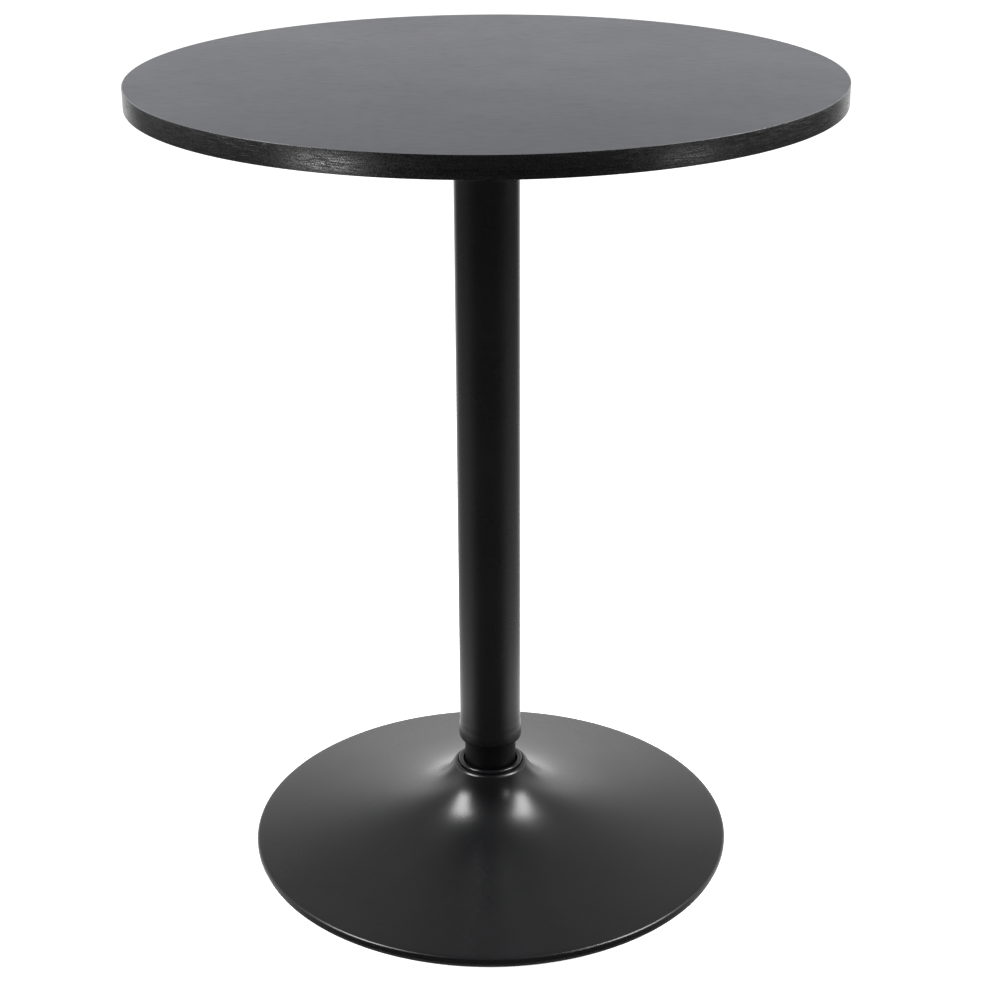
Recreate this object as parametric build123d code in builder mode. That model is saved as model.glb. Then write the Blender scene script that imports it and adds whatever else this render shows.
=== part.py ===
"""Round pedestal table on a trumpet base, with a gas-lift column that raises and turns the top.

Millimetres, +Z up. The origin is on the floor, on the axis of the column. The top is at its
lowest setting, and the release lever under the top points along +Y.
"""

import os
from math import cos, radians, sin

from build123d import *

# Table top
table_height = 732.0
top_diameter = 600.0
top_thickness = 18.0
top_skin = 0.8
under_skin = 0.6
band_thickness = 1.0
band_corner = 0.6

# Pressed trumpet base and the ring it stands on
base_diameter = 450.0
base_sheet = 2.0
rim_height = 9.0
rim_corner = 2.6
rim_slope = 8.0
rim_handle = 144.7
hub_height = 79.0
hub_slope = 66.0
hub_handle = 36.8
shoulder_radius = 3.5
throat_flat = 1.2
throat_gap = 0.6
throat_corner = 0.9
ring_thickness = 3.5
ring_inset = 1.4
ring_width = 9.0
ring_rib_height = 3.2
ring_corner = 0.6

# Socket and brace that hold the column in the base
socket_wall = 6.0
socket_lip_rise = 2.6
socket_lip_mouth = 1.9
socket_mouth_depth = 3.0
socket_lip_corner = 1.2
socket_bottom = 22.0
socket_ledge = 3.0
brace_height = 36.0
brace_thickness = 3.0
brace_hole_radius = 7.0
brace_hole_circle = 50.0
brace_hole_count = 4

# Standing column and the sleeve that slides over it
column_diameter = 48.0
column_wall = 2.0
sleeve_gap = 3.0
sleeve_wall = 1.5
sleeve_clearance_height = 22.5
band_swell = 1.0
band_height = 12.4
band_blend = 2.5
lip_height = 5.0
lip_reach = 2.4
lip_pull = 1.4
lip_gap = 0.5
bush_height = 10.0
column_bush_height = 80.0
column_bush_flange = 3.0
column_top_gap = 12.0

# Gas spring
stroke = 215.0
cylinder_diameter = 28.0
cylinder_wall = 2.0
cylinder_taper = 0.8
cylinder_rise = 1.0
cylinder_lip = 1.0
rod_diameter = 10.0
rod_end_diameter = 8.0
rod_neck_diameter = 6.0
rod_tail = 3.0
rod_end_chamfer = 0.8
guide_height = 10.0
seal_height = 4.0
seal_corner = 1.0
piston_height = 14.0
piston_margin = 12.0
piston_ring_section = 2.0
valve_body_height = 14.0
valve_pin_diameter = 6.0
valve_pin_length = 30.0
valve_pin_rise = 6.0
valve_dome = 4.0

# Foot of the gas spring, which turns on a ball thrust bearing
end_plate_thickness = 4.0
end_plate_rise = 3.0
race_thickness = 2.0
race_outer_radius = 14.0
race_bore_radius = 6.0
ball_diameter = 4.0
ball_circle_radius = 10.0
ball_count = 10
cage_thickness = 1.6
cage_width = 5.6
buffer_height = 20.0
buffer_inset = 1.5
buffer_corner = 1.5
clip_washer_radius = 9.0
clip_washer_thickness = 1.5
clip_thickness = 1.0
clip_outer_radius = 7.0
clip_mouth = 5.0
clip_groove = 0.8

# Fixing of the top
plate_size = 170.0
plate_thickness = 3.0
plate_corner = 15.0
plate_window_radius = 12.0
bolt_spacing = 140.0
bolt_diameter = 6.0
bolt_length = 14.5
bolt_head_radius = 5.5
bolt_head_height = 3.4
bolt_head_corner = 1.1
bolt_socket_radius = 2.3
bolt_socket_depth = 2.0
washer_radius = 5.8
washer_thickness = 1.4
insert_wall = 2.0
insert_length = 13.0
insert_spare_depth = 1.0
housing_width = 62.0
housing_length = 92.0
housing_height = 24.0
housing_wall = 2.5
housing_corner = 6.0
housing_slot_width = 14.0
taper_socket_wall = 5.0
taper_socket_length = 40.0
taper_socket_rise = 2.0
collar_gap = 2.5
collar_height = 18.0
screw_count = 3
screw_diameter = 4.0
screw_head_radius = 3.6
screw_head_height = 2.2
screw_socket_radius = 1.4
screw_socket_depth = 1.2

# Release lever
lever_diameter = 8.0
lever_arm = 18.0
lever_overhang = 6.0
lever_straight = 40.0
lever_reach = 180.0
lever_drop = 34.0
lever_bend_radius = 25.0
lever_end_round = 1.0
pivot_diameter = 4.0
pivot_overhang = 3.0
pivot_head_radius = 3.6
pivot_clip_thickness = 1.0
pivot_clip_radius = 3.8
grip_length = 62.0
grip_cover = 54.0
grip_neck_radius = 6.2
grip_radius = 8.2
grip_end_round = 4.0

# Fits
running_gap = 0.08
press_gap = 0.02
thread_gap = 0.05
bolt_gap = 0.3
free_gap = 0.3

# Radii that the pieces share
column_radius = column_diameter / 2
column_bore = column_radius - column_wall
socket_radius = column_radius + socket_wall
throat_radius = socket_radius + throat_gap
sleeve_bore = column_radius + sleeve_gap
sleeve_radius = sleeve_bore + sleeve_wall
band_bore = sleeve_bore + band_swell
base_radius = base_diameter / 2
skirt_bore = base_radius - base_sheet
ring_radius = base_radius - ring_inset
top_radius = top_diameter / 2
core_radius = top_radius - band_thickness
cylinder_radius = cylinder_diameter / 2
cylinder_bore = cylinder_radius - cylinder_wall
rod_radius = rod_diameter / 2
rod_end_radius = rod_end_diameter / 2
rod_neck_radius = rod_neck_diameter / 2
lever_radius = lever_diameter / 2
pivot_radius = pivot_diameter / 2
pin_radius = valve_pin_diameter / 2
bolt_radius = bolt_diameter / 2
insert_radius = bolt_radius + thread_gap + insert_wall
taper_socket_radius = cylinder_radius + taper_socket_wall
buffer_radius = cylinder_radius - buffer_inset

# Heights in the base, from the floor up
socket_top = hub_height + socket_lip_rise
column_bottom = socket_bottom + socket_ledge
end_plate_bottom = column_bottom + end_plate_rise
end_plate_top = end_plate_bottom + end_plate_thickness
lower_race_top = end_plate_top + race_thickness
ball_height = lower_race_top + running_gap + ball_diameter / 2
upper_race_bottom = ball_height + ball_diameter / 2 + running_gap
upper_race_top = upper_race_bottom + race_thickness
buffer_top = upper_race_top + buffer_height
clip_washer_top = end_plate_bottom - free_gap
clip_washer_bottom = clip_washer_top - clip_washer_thickness
clip_bottom = clip_washer_bottom - clip_thickness
rod_bottom = clip_bottom - rod_tail

# Heights in the top, from the table top down
underside = table_height - top_thickness
plate_bottom = underside - plate_thickness
housing_bottom = plate_bottom - housing_height
housing_floor = housing_bottom + housing_wall
taper_socket_top = housing_floor + taper_socket_rise
taper_socket_bottom = housing_bottom - taper_socket_length
cylinder_top = taper_socket_top + cylinder_rise
pin_top = cylinder_top + valve_pin_rise
lever_height = pin_top + free_gap + lever_radius
column_top = taper_socket_bottom - column_top_gap
sleeve_top = housing_bottom
sleeve_bottom = socket_top + sleeve_clearance_height

# Heights in the gas spring
cylinder_bottom = buffer_top + free_gap
guide_bottom = cylinder_bottom + cylinder_lip
seal_bottom = guide_bottom + guide_height
piston_bottom = seal_bottom + seal_height + stroke + piston_margin
piston_top = piston_bottom + piston_height
ring_height = (piston_bottom + piston_top) / 2


def bolt_places(height):
    """The four bolt axes of the mounting plate, at a height."""
    return [Plane.XY.offset(height) * spot for spot in GridLocations(bolt_spacing, bolt_spacing, 2, 2)]


def rod_of_steps(steps):
    """A closed half-profile of a turned piece, from (radius, height) pairs given bottom to top."""
    corners = [(0, steps[0][1])]
    corners.extend(steps)
    corners.append((0, steps[-1][1]))
    Polyline(*corners, close=True)


def flare_outline(depth, foot):
    """The region under the trumpet's surface, a depth below it, down to a foot height."""
    shoulder = shoulder_radius - depth
    shoulder_centre = (throat_radius + throat_flat, hub_height - shoulder_radius)
    hub = (
        shoulder_centre[0] + shoulder * sin(radians(hub_slope)),
        shoulder_centre[1] + shoulder * cos(radians(hub_slope)),
    )
    hub_control = (
        hub[0] + hub_handle * cos(radians(hub_slope)),
        hub[1] - hub_handle * sin(radians(hub_slope)),
    )
    corner = rim_corner - depth
    corner_centre = (base_radius - rim_corner, rim_height - rim_corner)
    rim = (
        corner_centre[0] + corner * sin(radians(rim_slope)),
        corner_centre[1] + corner * cos(radians(rim_slope)),
    )
    rim_control = (
        rim[0] - rim_handle * cos(radians(rim_slope)),
        rim[1] + rim_handle * sin(radians(rim_slope)),
    )
    skirt = (corner_centre[0] + corner, corner_centre[1])
    throat = (shoulder_centre[0], hub_height - depth)
    CenterArc(shoulder_centre, shoulder, 90 - hub_slope, hub_slope)
    Bezier(hub, hub_control, rim_control, rim)
    CenterArc(corner_centre, corner, 0, 90 - rim_slope)
    Polyline(skirt, (skirt[0], foot), (column_bore, foot), (column_bore, throat[1]), throat)


# Table top: a chipboard core with a laminate on each face and a band round the edge

with BuildPart() as table_top_core:
    with BuildSketch(Plane.XY.offset(underside + under_skin)):
        Circle(core_radius)
    extrude(amount=top_thickness - under_skin - top_skin)
    with Locations(bolt_places(underside + under_skin)):
        Hole(insert_radius, depth=insert_length + insert_spare_depth - under_skin)
table_top_core.part.label = "table_top_core"

with BuildPart() as top_laminate:
    with BuildSketch(Plane.XY.offset(table_height - top_skin)):
        Circle(core_radius)
    extrude(amount=top_skin)
top_laminate.part.label = "top_laminate"

with BuildPart() as underside_laminate:
    with BuildSketch(Plane.XY.offset(underside)):
        Circle(core_radius)
        with GridLocations(bolt_spacing, bolt_spacing, 2, 2):
            Circle(insert_radius, mode=Mode.SUBTRACT)
    extrude(amount=under_skin)
underside_laminate.part.label = "underside_laminate"

with BuildPart() as edge_band:
    with BuildSketch(Plane.XY.offset(underside)):
        Circle(top_radius)
        Circle(core_radius, mode=Mode.SUBTRACT)
    extrude(amount=top_thickness)
    outer_edges = edge_band.edges().filter_by(GeomType.CIRCLE).sort_by(SortBy.RADIUS)[-2:]
    fillet(outer_edges, radius=band_corner)
edge_band.part.label = "edge_band"

# Fixing of the top: inserts in the core, a plate, and a housing for the valve and lever

with BuildPart() as threaded_inserts:
    with BuildSketch(Plane.XY.offset(underside)):
        with GridLocations(bolt_spacing, bolt_spacing, 2, 2):
            Circle(insert_radius)
            Circle(bolt_radius + thread_gap, mode=Mode.SUBTRACT)
    extrude(amount=insert_length)
threaded_inserts.part.label = "threaded_inserts"

with BuildPart() as mounting_plate:
    with BuildSketch(Plane.XY.offset(plate_bottom)):
        RectangleRounded(plate_size, plate_size, plate_corner)
        Circle(plate_window_radius, mode=Mode.SUBTRACT)
        with GridLocations(bolt_spacing, bolt_spacing, 2, 2):
            Circle(bolt_radius + bolt_gap, mode=Mode.SUBTRACT)
    extrude(amount=plate_thickness)
mounting_plate.part.label = "mounting_plate"

with BuildPart() as plate_washers:
    with BuildSketch(Plane.XY.offset(plate_bottom - washer_thickness)):
        with GridLocations(bolt_spacing, bolt_spacing, 2, 2):
            Circle(washer_radius)
            Circle(bolt_radius + bolt_gap, mode=Mode.SUBTRACT)
    extrude(amount=washer_thickness)
plate_washers.part.label = "plate_washers"

head_top = plate_bottom - washer_thickness
head_bottom = head_top - bolt_head_height
with BuildPart() as plate_bolts:
    with BuildSketch(Plane.XY.offset(head_bottom)):
        with GridLocations(bolt_spacing, bolt_spacing, 2, 2):
            Circle(bolt_head_radius)
    extrude(amount=bolt_head_height)
    fillet(plate_bolts.edges().group_by(Axis.Z)[0], radius=bolt_head_corner)
    with BuildSketch(Plane.XY.offset(head_top)):
        with GridLocations(bolt_spacing, bolt_spacing, 2, 2):
            Circle(bolt_radius)
    extrude(amount=bolt_length)
    with BuildSketch(Plane.XY.offset(head_bottom)):
        with GridLocations(bolt_spacing, bolt_spacing, 2, 2):
            RegularPolygon(bolt_socket_radius, 6)
    extrude(amount=bolt_socket_depth, mode=Mode.SUBTRACT)
plate_bolts.part.label = "plate_bolts"

with BuildPart() as lever_housing:
    with BuildSketch(Plane.XY.offset(housing_bottom)):
        RectangleRounded(housing_width, housing_length, housing_corner)
    extrude(amount=housing_height)
    with BuildSketch(Plane.XY.offset(housing_floor)):
        RectangleRounded(
            housing_width - 2 * housing_wall,
            housing_length - 2 * housing_wall,
            housing_corner - housing_wall,
        )
    extrude(amount=housing_height, mode=Mode.SUBTRACT)
    with BuildSketch(Plane.XY.offset(housing_bottom)):
        Circle(taper_socket_radius)
    extrude(amount=housing_wall, mode=Mode.SUBTRACT)
    with BuildSketch(Plane.XZ.offset(-housing_length / 2 + 2 * housing_wall)):
        with Locations((0, (housing_floor + plate_bottom) / 2)):
            Rectangle(housing_slot_width, plate_bottom - housing_floor)
    extrude(amount=-4 * housing_wall, mode=Mode.SUBTRACT)
    with BuildSketch(Plane.YZ.offset(-housing_width / 2)):
        with Locations((lever_arm, lever_height)):
            Circle(pivot_radius + press_gap)
    extrude(amount=housing_width, mode=Mode.SUBTRACT)
lever_housing.part.label = "lever_housing"

taper_top_radius = cylinder_radius - cylinder_taper
with BuildPart() as taper_socket:
    with BuildSketch(Plane.XZ):
        with BuildLine():
            Polyline(
                (cylinder_radius + press_gap, taper_socket_bottom),
                (taper_socket_radius, taper_socket_bottom),
                (taper_socket_radius, taper_socket_top),
                (taper_top_radius + press_gap, taper_socket_top),
                close=True,
            )
        make_face()
    revolve(axis=Axis.Z)
taper_socket.part.label = "taper_socket"

collar_radius = sleeve_bore - press_gap
collar_bore = taper_socket_radius + collar_gap
collar_bottom = housing_bottom - collar_height
screw_height = (housing_bottom + collar_bottom) / 2
with BuildPart() as sleeve_collar:
    with BuildSketch(Plane.XY.offset(collar_bottom)):
        Circle(collar_radius)
        Circle(collar_bore, mode=Mode.SUBTRACT)
    extrude(amount=collar_height)
    with PolarLocations(0, screw_count):
        with Locations(Location((0, 0, screw_height), (0, 90, 0))):
            Cylinder(
                screw_diameter / 2 + thread_gap,
                sleeve_radius,
                align=(Align.CENTER, Align.CENTER, Align.MIN),
                mode=Mode.SUBTRACT,
            )
sleeve_collar.part.label = "sleeve_collar"

# Sleeve: a thin tube, swaged out round its lower bush and rolled in at its lower edge


def sleeve_line(depth):
    """The sleeve's side from its head to its lip, a depth inside its outer face."""
    side = sleeve_radius - depth
    band = side + band_swell
    band_bottom = sleeve_bottom + lip_height
    band_top = band_bottom + band_height
    band_middle = band_top + band_blend / 2
    lip = sleeve_bottom + depth
    Line((side, sleeve_top), (side, band_top + band_blend))
    Bezier((side, band_top + band_blend), (side, band_middle), (band, band_middle), (band, band_top))
    Line((band, band_top), (band, band_bottom))
    Bezier((band, band_bottom), (band, lip + lip_pull), (band - lip_reach, lip), (lip_bore, lip))


lip_bore = column_radius + lip_gap
with BuildPart() as column_sleeve:
    with BuildSketch(Plane.XZ):
        with BuildLine():
            sleeve_line(0)
            sleeve_line(sleeve_wall)
            Line((sleeve_radius, sleeve_top), (sleeve_bore, sleeve_top))
            Line((lip_bore, sleeve_bottom), (lip_bore, sleeve_bottom + sleeve_wall))
        make_face()
    revolve(axis=Axis.Z)
    with PolarLocations(0, screw_count):
        with Locations(Location((0, 0, screw_height), (0, 90, 0))):
            Cylinder(
                screw_diameter / 2 + thread_gap,
                2 * sleeve_radius,
                align=(Align.CENTER, Align.CENTER, Align.MIN),
                mode=Mode.SUBTRACT,
            )
column_sleeve.part.label = "column_sleeve"

screw_seat = sleeve_radius + free_gap / 2
with BuildPart() as sleeve_screws:
    with PolarLocations(0, screw_count):
        with Locations(Location((0, 0, screw_height), (0, 90, 0))):
            with Locations((0, 0, collar_bore)):
                Cylinder(
                    screw_diameter / 2,
                    screw_seat - collar_bore + screw_head_height / 2,
                    align=(Align.CENTER, Align.CENTER, Align.MIN),
                )
            with Locations((0, 0, screw_seat)):
                Cylinder(
                    screw_head_radius,
                    screw_head_height,
                    align=(Align.CENTER, Align.CENTER, Align.MIN),
                )
            with Locations((0, 0, screw_seat + screw_head_height)):
                Cylinder(screw_socket_radius, 2 * screw_socket_depth, mode=Mode.SUBTRACT)
sleeve_screws.part.label = "sleeve_screws"

bush_bottom = sleeve_bottom + lip_height
with BuildPart() as sleeve_guide_bush:
    with BuildSketch(Plane.XY.offset(bush_bottom)):
        Circle(band_bore - press_gap)
        Circle(column_radius + running_gap, mode=Mode.SUBTRACT)
    extrude(amount=bush_height)
sleeve_guide_bush.part.label = "sleeve_guide_bush"

# Gas spring: the cylinder hangs in the taper socket, and its rod stands on the base

with BuildPart() as pressure_cylinder:
    with BuildSketch(Plane.XZ):
        with BuildLine():
            Polyline(
                (cylinder_bore - cylinder_wall, cylinder_bottom),
                (cylinder_radius, cylinder_bottom),
                (cylinder_radius, taper_socket_bottom),
                (taper_top_radius, taper_socket_top),
                (taper_top_radius, cylinder_top),
                (cylinder_bore, cylinder_top),
                (cylinder_bore, guide_bottom),
                (cylinder_bore - cylinder_wall, guide_bottom),
                close=True,
            )
        make_face()
    revolve(axis=Axis.Z)
pressure_cylinder.part.label = "pressure_cylinder"

with BuildPart() as rod_guide:
    with BuildSketch(Plane.XY.offset(guide_bottom)):
        Circle(cylinder_bore - press_gap)
        Circle(rod_radius + running_gap, mode=Mode.SUBTRACT)
    extrude(amount=guide_height)
rod_guide.part.label = "rod_guide"

with BuildPart() as rod_seal:
    with BuildSketch(Plane.XY.offset(seal_bottom)):
        Circle(cylinder_bore - press_gap)
        Circle(rod_radius + running_gap, mode=Mode.SUBTRACT)
    extrude(amount=seal_height)
    fillet(rod_seal.edges().group_by(Axis.Z)[-1], radius=seal_corner)
rod_seal.part.label = "rod_seal"

with BuildPart() as valve_body:
    with BuildSketch(Plane.XY.offset(cylinder_top - valve_body_height)):
        Circle(cylinder_bore - press_gap)
        Circle(pin_radius + running_gap, mode=Mode.SUBTRACT)
    extrude(amount=valve_body_height)
valve_body.part.label = "valve_body"

with BuildPart() as valve_pin:
    with BuildSketch(Plane.XY.offset(pin_top - valve_pin_length)):
        Circle(pin_radius)
    extrude(amount=valve_pin_length)
    with BuildSketch(Plane.XZ):
        with BuildLine():
            dome = CenterArc((0, pin_top - valve_dome), valve_dome, 0, 90)
            Polyline(dome @ 1, (valve_dome, pin_top), dome @ 0)
        make_face()
    revolve(axis=Axis.Z, mode=Mode.SUBTRACT)
valve_pin.part.label = "valve_pin"

with BuildPart() as piston_rod:
    with BuildSketch(Plane.XZ):
        with BuildLine():
            rod_of_steps(
                [
                    (rod_end_radius, rod_bottom),
                    (rod_end_radius, clip_bottom),
                    (rod_end_radius - clip_groove, clip_bottom),
                    (rod_end_radius - clip_groove, clip_washer_bottom),
                    (rod_end_radius, clip_washer_bottom),
                    (rod_end_radius, upper_race_top),
                    (rod_radius, upper_race_top),
                    (rod_radius, piston_bottom),
                    (rod_neck_radius, piston_bottom),
                    (rod_neck_radius, piston_top + rod_tail),
                ]
            )
        make_face()
    revolve(axis=Axis.Z)
    chamfer(piston_rod.edges().group_by(Axis.Z)[0], length=rod_end_chamfer)
    chamfer(piston_rod.edges().group_by(Axis.Z)[-1], length=rod_end_chamfer)
piston_rod.part.label = "piston_rod"

with BuildPart() as piston:
    with BuildSketch(Plane.XY.offset(piston_bottom)):
        Circle(cylinder_bore - running_gap)
        Circle(rod_neck_radius + press_gap, mode=Mode.SUBTRACT)
    extrude(amount=piston_height)
    with BuildSketch(Plane.XZ):
        with Locations((cylinder_bore, ring_height)):
            Rectangle(2 * piston_ring_section, piston_ring_section + 2 * running_gap)
    revolve(axis=Axis.Z, mode=Mode.SUBTRACT)
piston.part.label = "piston"

with BuildPart() as piston_seal:
    with BuildSketch(Plane.XZ):
        with Locations((cylinder_bore - piston_ring_section / 2, ring_height)):
            Circle(piston_ring_section / 2 - press_gap)
    revolve(axis=Axis.Z)
piston_seal.part.label = "piston_seal"

# Foot of the rod: a ball thrust bearing on the column's end plate, held by a clip

with BuildPart() as upper_race:
    with BuildSketch(Plane.XY.offset(upper_race_bottom)):
        Circle(race_outer_radius)
        Circle(rod_end_radius + press_gap, mode=Mode.SUBTRACT)
    extrude(amount=race_thickness)
upper_race.part.label = "upper_race"

with BuildPart() as rubber_buffer:
    with BuildSketch(Plane.XY.offset(upper_race_top)):
        Circle(buffer_radius)
        Circle(rod_radius + press_gap, mode=Mode.SUBTRACT)
    extrude(amount=buffer_height)
    fillet(rubber_buffer.edges().group_by(Axis.Z)[-1].sort_by(SortBy.RADIUS)[-1], radius=buffer_corner)
rubber_buffer.part.label = "rubber_buffer"

with BuildPart() as clip_washer:
    with BuildSketch(Plane.XY.offset(clip_washer_bottom)):
        Circle(clip_washer_radius)
        Circle(rod_end_radius + press_gap, mode=Mode.SUBTRACT)
    extrude(amount=clip_washer_thickness)
clip_washer.part.label = "clip_washer"

with BuildPart() as retaining_clip:
    with BuildSketch(Plane.XY.offset(clip_bottom)):
        Circle(clip_outer_radius)
        Circle(rod_end_radius - clip_groove + press_gap, mode=Mode.SUBTRACT)
        with Locations((clip_outer_radius, 0)):
            Rectangle(2 * clip_outer_radius, clip_mouth, mode=Mode.SUBTRACT)
    extrude(amount=clip_thickness)
retaining_clip.part.label = "retaining_clip"

with BuildPart() as lower_race:
    with BuildSketch(Plane.XY.offset(end_plate_top)):
        Circle(race_outer_radius)
        Circle(race_bore_radius, mode=Mode.SUBTRACT)
    extrude(amount=race_thickness)
lower_race.part.label = "lower_race"

with BuildPart() as bearing_balls:
    with Locations((0, 0, ball_height)):
        with PolarLocations(ball_circle_radius, ball_count):
            Sphere(ball_diameter / 2)
bearing_balls.part.label = "bearing_balls"

with BuildPart() as bearing_cage:
    with BuildSketch(Plane.XY.offset(ball_height - cage_thickness / 2)):
        Circle(ball_circle_radius + cage_width / 2)
        Circle(ball_circle_radius - cage_width / 2, mode=Mode.SUBTRACT)
        with PolarLocations(ball_circle_radius, ball_count):
            Circle(ball_diameter / 2 + running_gap, mode=Mode.SUBTRACT)
    extrude(amount=cage_thickness)
bearing_cage.part.label = "bearing_cage"

# Column: a tube in the base's socket, with an end plate below and a guide bush above

with BuildPart() as column_tube:
    with BuildSketch(Plane.XY.offset(column_bottom)):
        Circle(column_radius)
        Circle(column_bore, mode=Mode.SUBTRACT)
    extrude(amount=column_top - column_bottom)
column_tube.part.label = "column_tube"

with BuildPart() as column_end_plate:
    with BuildSketch(Plane.XY.offset(end_plate_bottom)):
        Circle(column_bore - press_gap)
        Circle(rod_end_radius + running_gap, mode=Mode.SUBTRACT)
    extrude(amount=end_plate_thickness)
column_end_plate.part.label = "column_end_plate"

with BuildPart() as column_guide_bush:
    with BuildSketch(Plane.XY.offset(column_top - column_bush_height)):
        Circle(column_bore - press_gap)
        Circle(cylinder_radius + running_gap, mode=Mode.SUBTRACT)
    extrude(amount=column_bush_height)
    with BuildSketch(Plane.XY.offset(column_top)):
        Circle(column_radius)
        Circle(cylinder_radius + running_gap, mode=Mode.SUBTRACT)
    extrude(amount=column_bush_flange)
column_guide_bush.part.label = "column_guide_bush"

# Base: a pressed trumpet, the socket and brace welded in it, and the ring it stands on

with BuildPart() as hub_socket:
    with BuildSketch(Plane.XZ):
        with BuildLine():
            Polyline(
                (column_bore - free_gap, socket_bottom),
                (socket_radius, socket_bottom),
                (socket_radius, socket_top),
                (column_radius + socket_lip_mouth, socket_top),
                (column_radius + press_gap, socket_top - socket_mouth_depth),
                (column_radius + press_gap, column_bottom),
                (column_bore - free_gap, column_bottom),
                close=True,
            )
        make_face()
    revolve(axis=Axis.Z)
    fillet(hub_socket.edges().group_by(Axis.Z)[-1], radius=socket_lip_corner)
hub_socket.part.label = "hub_socket"

with BuildSketch(Plane.XZ) as flare_cavity:
    with BuildLine():
        flare_outline(base_sheet, 0)
    make_face()

with BuildPart() as base_trumpet:
    with BuildSketch(Plane.XZ) as flare:
        with BuildLine():
            flare_outline(0, ring_thickness)
        make_face()
        add(flare_cavity.sketch_local, mode=Mode.SUBTRACT)
        Rectangle(2 * throat_radius, 2 * hub_height, mode=Mode.SUBTRACT)
        throat_edge = flare.vertices().sort_by(Axis.Y)[-2:].sort_by(Axis.X)[0]
        fillet(throat_edge, radius=throat_corner)
    revolve(axis=Axis.Z)
base_trumpet.part.label = "base_trumpet"

with BuildPart() as hub_brace:
    with BuildSketch(Plane.XZ):
        with Locations((socket_radius + press_gap, brace_height)):
            Rectangle(base_radius, brace_thickness, align=(Align.MIN, Align.MIN))
        add(flare_cavity.sketch_local, mode=Mode.INTERSECT)
    revolve(axis=Axis.Z)
    with BuildSketch(Plane.XY.offset(brace_height)):
        with PolarLocations(brace_hole_circle, brace_hole_count, start_angle=45):
            Circle(brace_hole_radius)
    extrude(amount=brace_thickness, mode=Mode.SUBTRACT)
hub_brace.part.label = "hub_brace"

with BuildPart() as floor_ring:
    with BuildSketch(Plane.XY):
        Circle(ring_radius)
        Circle(ring_radius - ring_width, mode=Mode.SUBTRACT)
    extrude(amount=ring_thickness)
    outer_edges = floor_ring.edges().filter_by(GeomType.CIRCLE).sort_by(SortBy.RADIUS)[-2:]
    fillet(outer_edges, radius=ring_corner)
    with BuildSketch(Plane.XY.offset(ring_thickness)):
        Circle(skirt_bore - running_gap)
        Circle(ring_radius - ring_width, mode=Mode.SUBTRACT)
    extrude(amount=ring_rib_height)
floor_ring.part.label = "floor_ring"

# Release lever: a bent rod that turns on a pin in the housing and presses the valve

with BuildPart() as lever_rod:
    with BuildLine(Plane.YZ):
        lever_path = FilletPolyline(
            (-lever_overhang, lever_height),
            (lever_straight, lever_height),
            (lever_reach, lever_height - lever_drop),
            radius=lever_bend_radius,
        )
    with BuildSketch(Plane(origin=lever_path @ 0, z_dir=lever_path % 0)):
        Circle(lever_radius)
    sweep()
    fillet(lever_rod.edges().group_by(Axis.Y)[0], radius=lever_end_round)
    with BuildSketch(Plane.YZ.offset(-lever_diameter)):
        with Locations((lever_arm, lever_height)):
            Circle(pivot_radius + running_gap)
    extrude(amount=2 * lever_diameter, mode=Mode.SUBTRACT)
lever_rod.part.label = "lever_rod"

grip_start = lever_path @ 1 - (lever_path % 1) * grip_cover
grip_plane = Plane(origin=grip_start, x_dir=(1, 0, 0), z_dir=lever_path % 1)
with BuildPart() as lever_grip:
    with BuildSketch(grip_plane):
        Circle(grip_neck_radius)
    with BuildSketch(grip_plane.offset(grip_length / 2)):
        Circle(grip_radius)
    with BuildSketch(grip_plane.offset(grip_length)):
        Circle(grip_radius)
    loft()
    fillet(lever_grip.edges().group_by(Axis.Y)[-1], radius=grip_end_round)
    with BuildSketch(grip_plane):
        Circle(lever_radius + press_gap)
    extrude(amount=grip_cover, mode=Mode.SUBTRACT)
lever_grip.part.label = "lever_grip"

pivot_half = housing_width / 2 + pivot_overhang
with BuildPart() as lever_pivot_pin:
    with BuildSketch(Plane.YZ.offset(-pivot_half)):
        with Locations((lever_arm, lever_height)):
            Circle(pivot_radius)
    extrude(amount=2 * pivot_half)
    with BuildSketch(Plane.YZ.offset(-pivot_half)):
        with Locations((lever_arm, lever_height)):
            Circle(pivot_head_radius)
    extrude(amount=pivot_overhang - free_gap)
lever_pivot_pin.part.label = "lever_pivot_pin"

with BuildPart() as pivot_clip:
    with BuildSketch(Plane.YZ.offset(housing_width / 2 + free_gap)):
        with Locations((lever_arm, lever_height)):
            Circle(pivot_clip_radius)
            Circle(pivot_radius + press_gap, mode=Mode.SUBTRACT)
    extrude(amount=pivot_clip_thickness)
pivot_clip.part.label = "pivot_clip"

pieces = (
    table_top_core,
    top_laminate,
    underside_laminate,
    edge_band,
    threaded_inserts,
    mounting_plate,
    plate_washers,
    plate_bolts,
    lever_housing,
    taper_socket,
    sleeve_collar,
    column_sleeve,
    sleeve_screws,
    sleeve_guide_bush,
    pressure_cylinder,
    rod_guide,
    rod_seal,
    valve_body,
    valve_pin,
    piston_rod,
    piston,
    piston_seal,
    upper_race,
    rubber_buffer,
    clip_washer,
    retaining_clip,
    lower_race,
    bearing_balls,
    bearing_cage,
    column_tube,
    column_end_plate,
    column_guide_bush,
    hub_socket,
    base_trumpet,
    hub_brace,
    floor_ring,
    lever_rod,
    lever_grip,
    lever_pivot_pin,
    pivot_clip,
)

os.makedirs("parts", exist_ok=True)
for piece in pieces:
    export_step(piece.part, f"parts/{piece.part.label}.step")
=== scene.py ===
"""The looks of a round pedestal table: a laminate top, a telescoping steel column, a trumpet base.

Metres, +Z up, with the floor at height 0 and the column on the Z axis. The release lever points
along +Y. The sections follow the table as it is put together, from the floor up.
"""

from math import cos, pi, radians, sin, tan

import bmesh
import bpy
from mathutils import Matrix, Quaternion, Vector
from mathutils.geometry import interpolate_bezier


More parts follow.
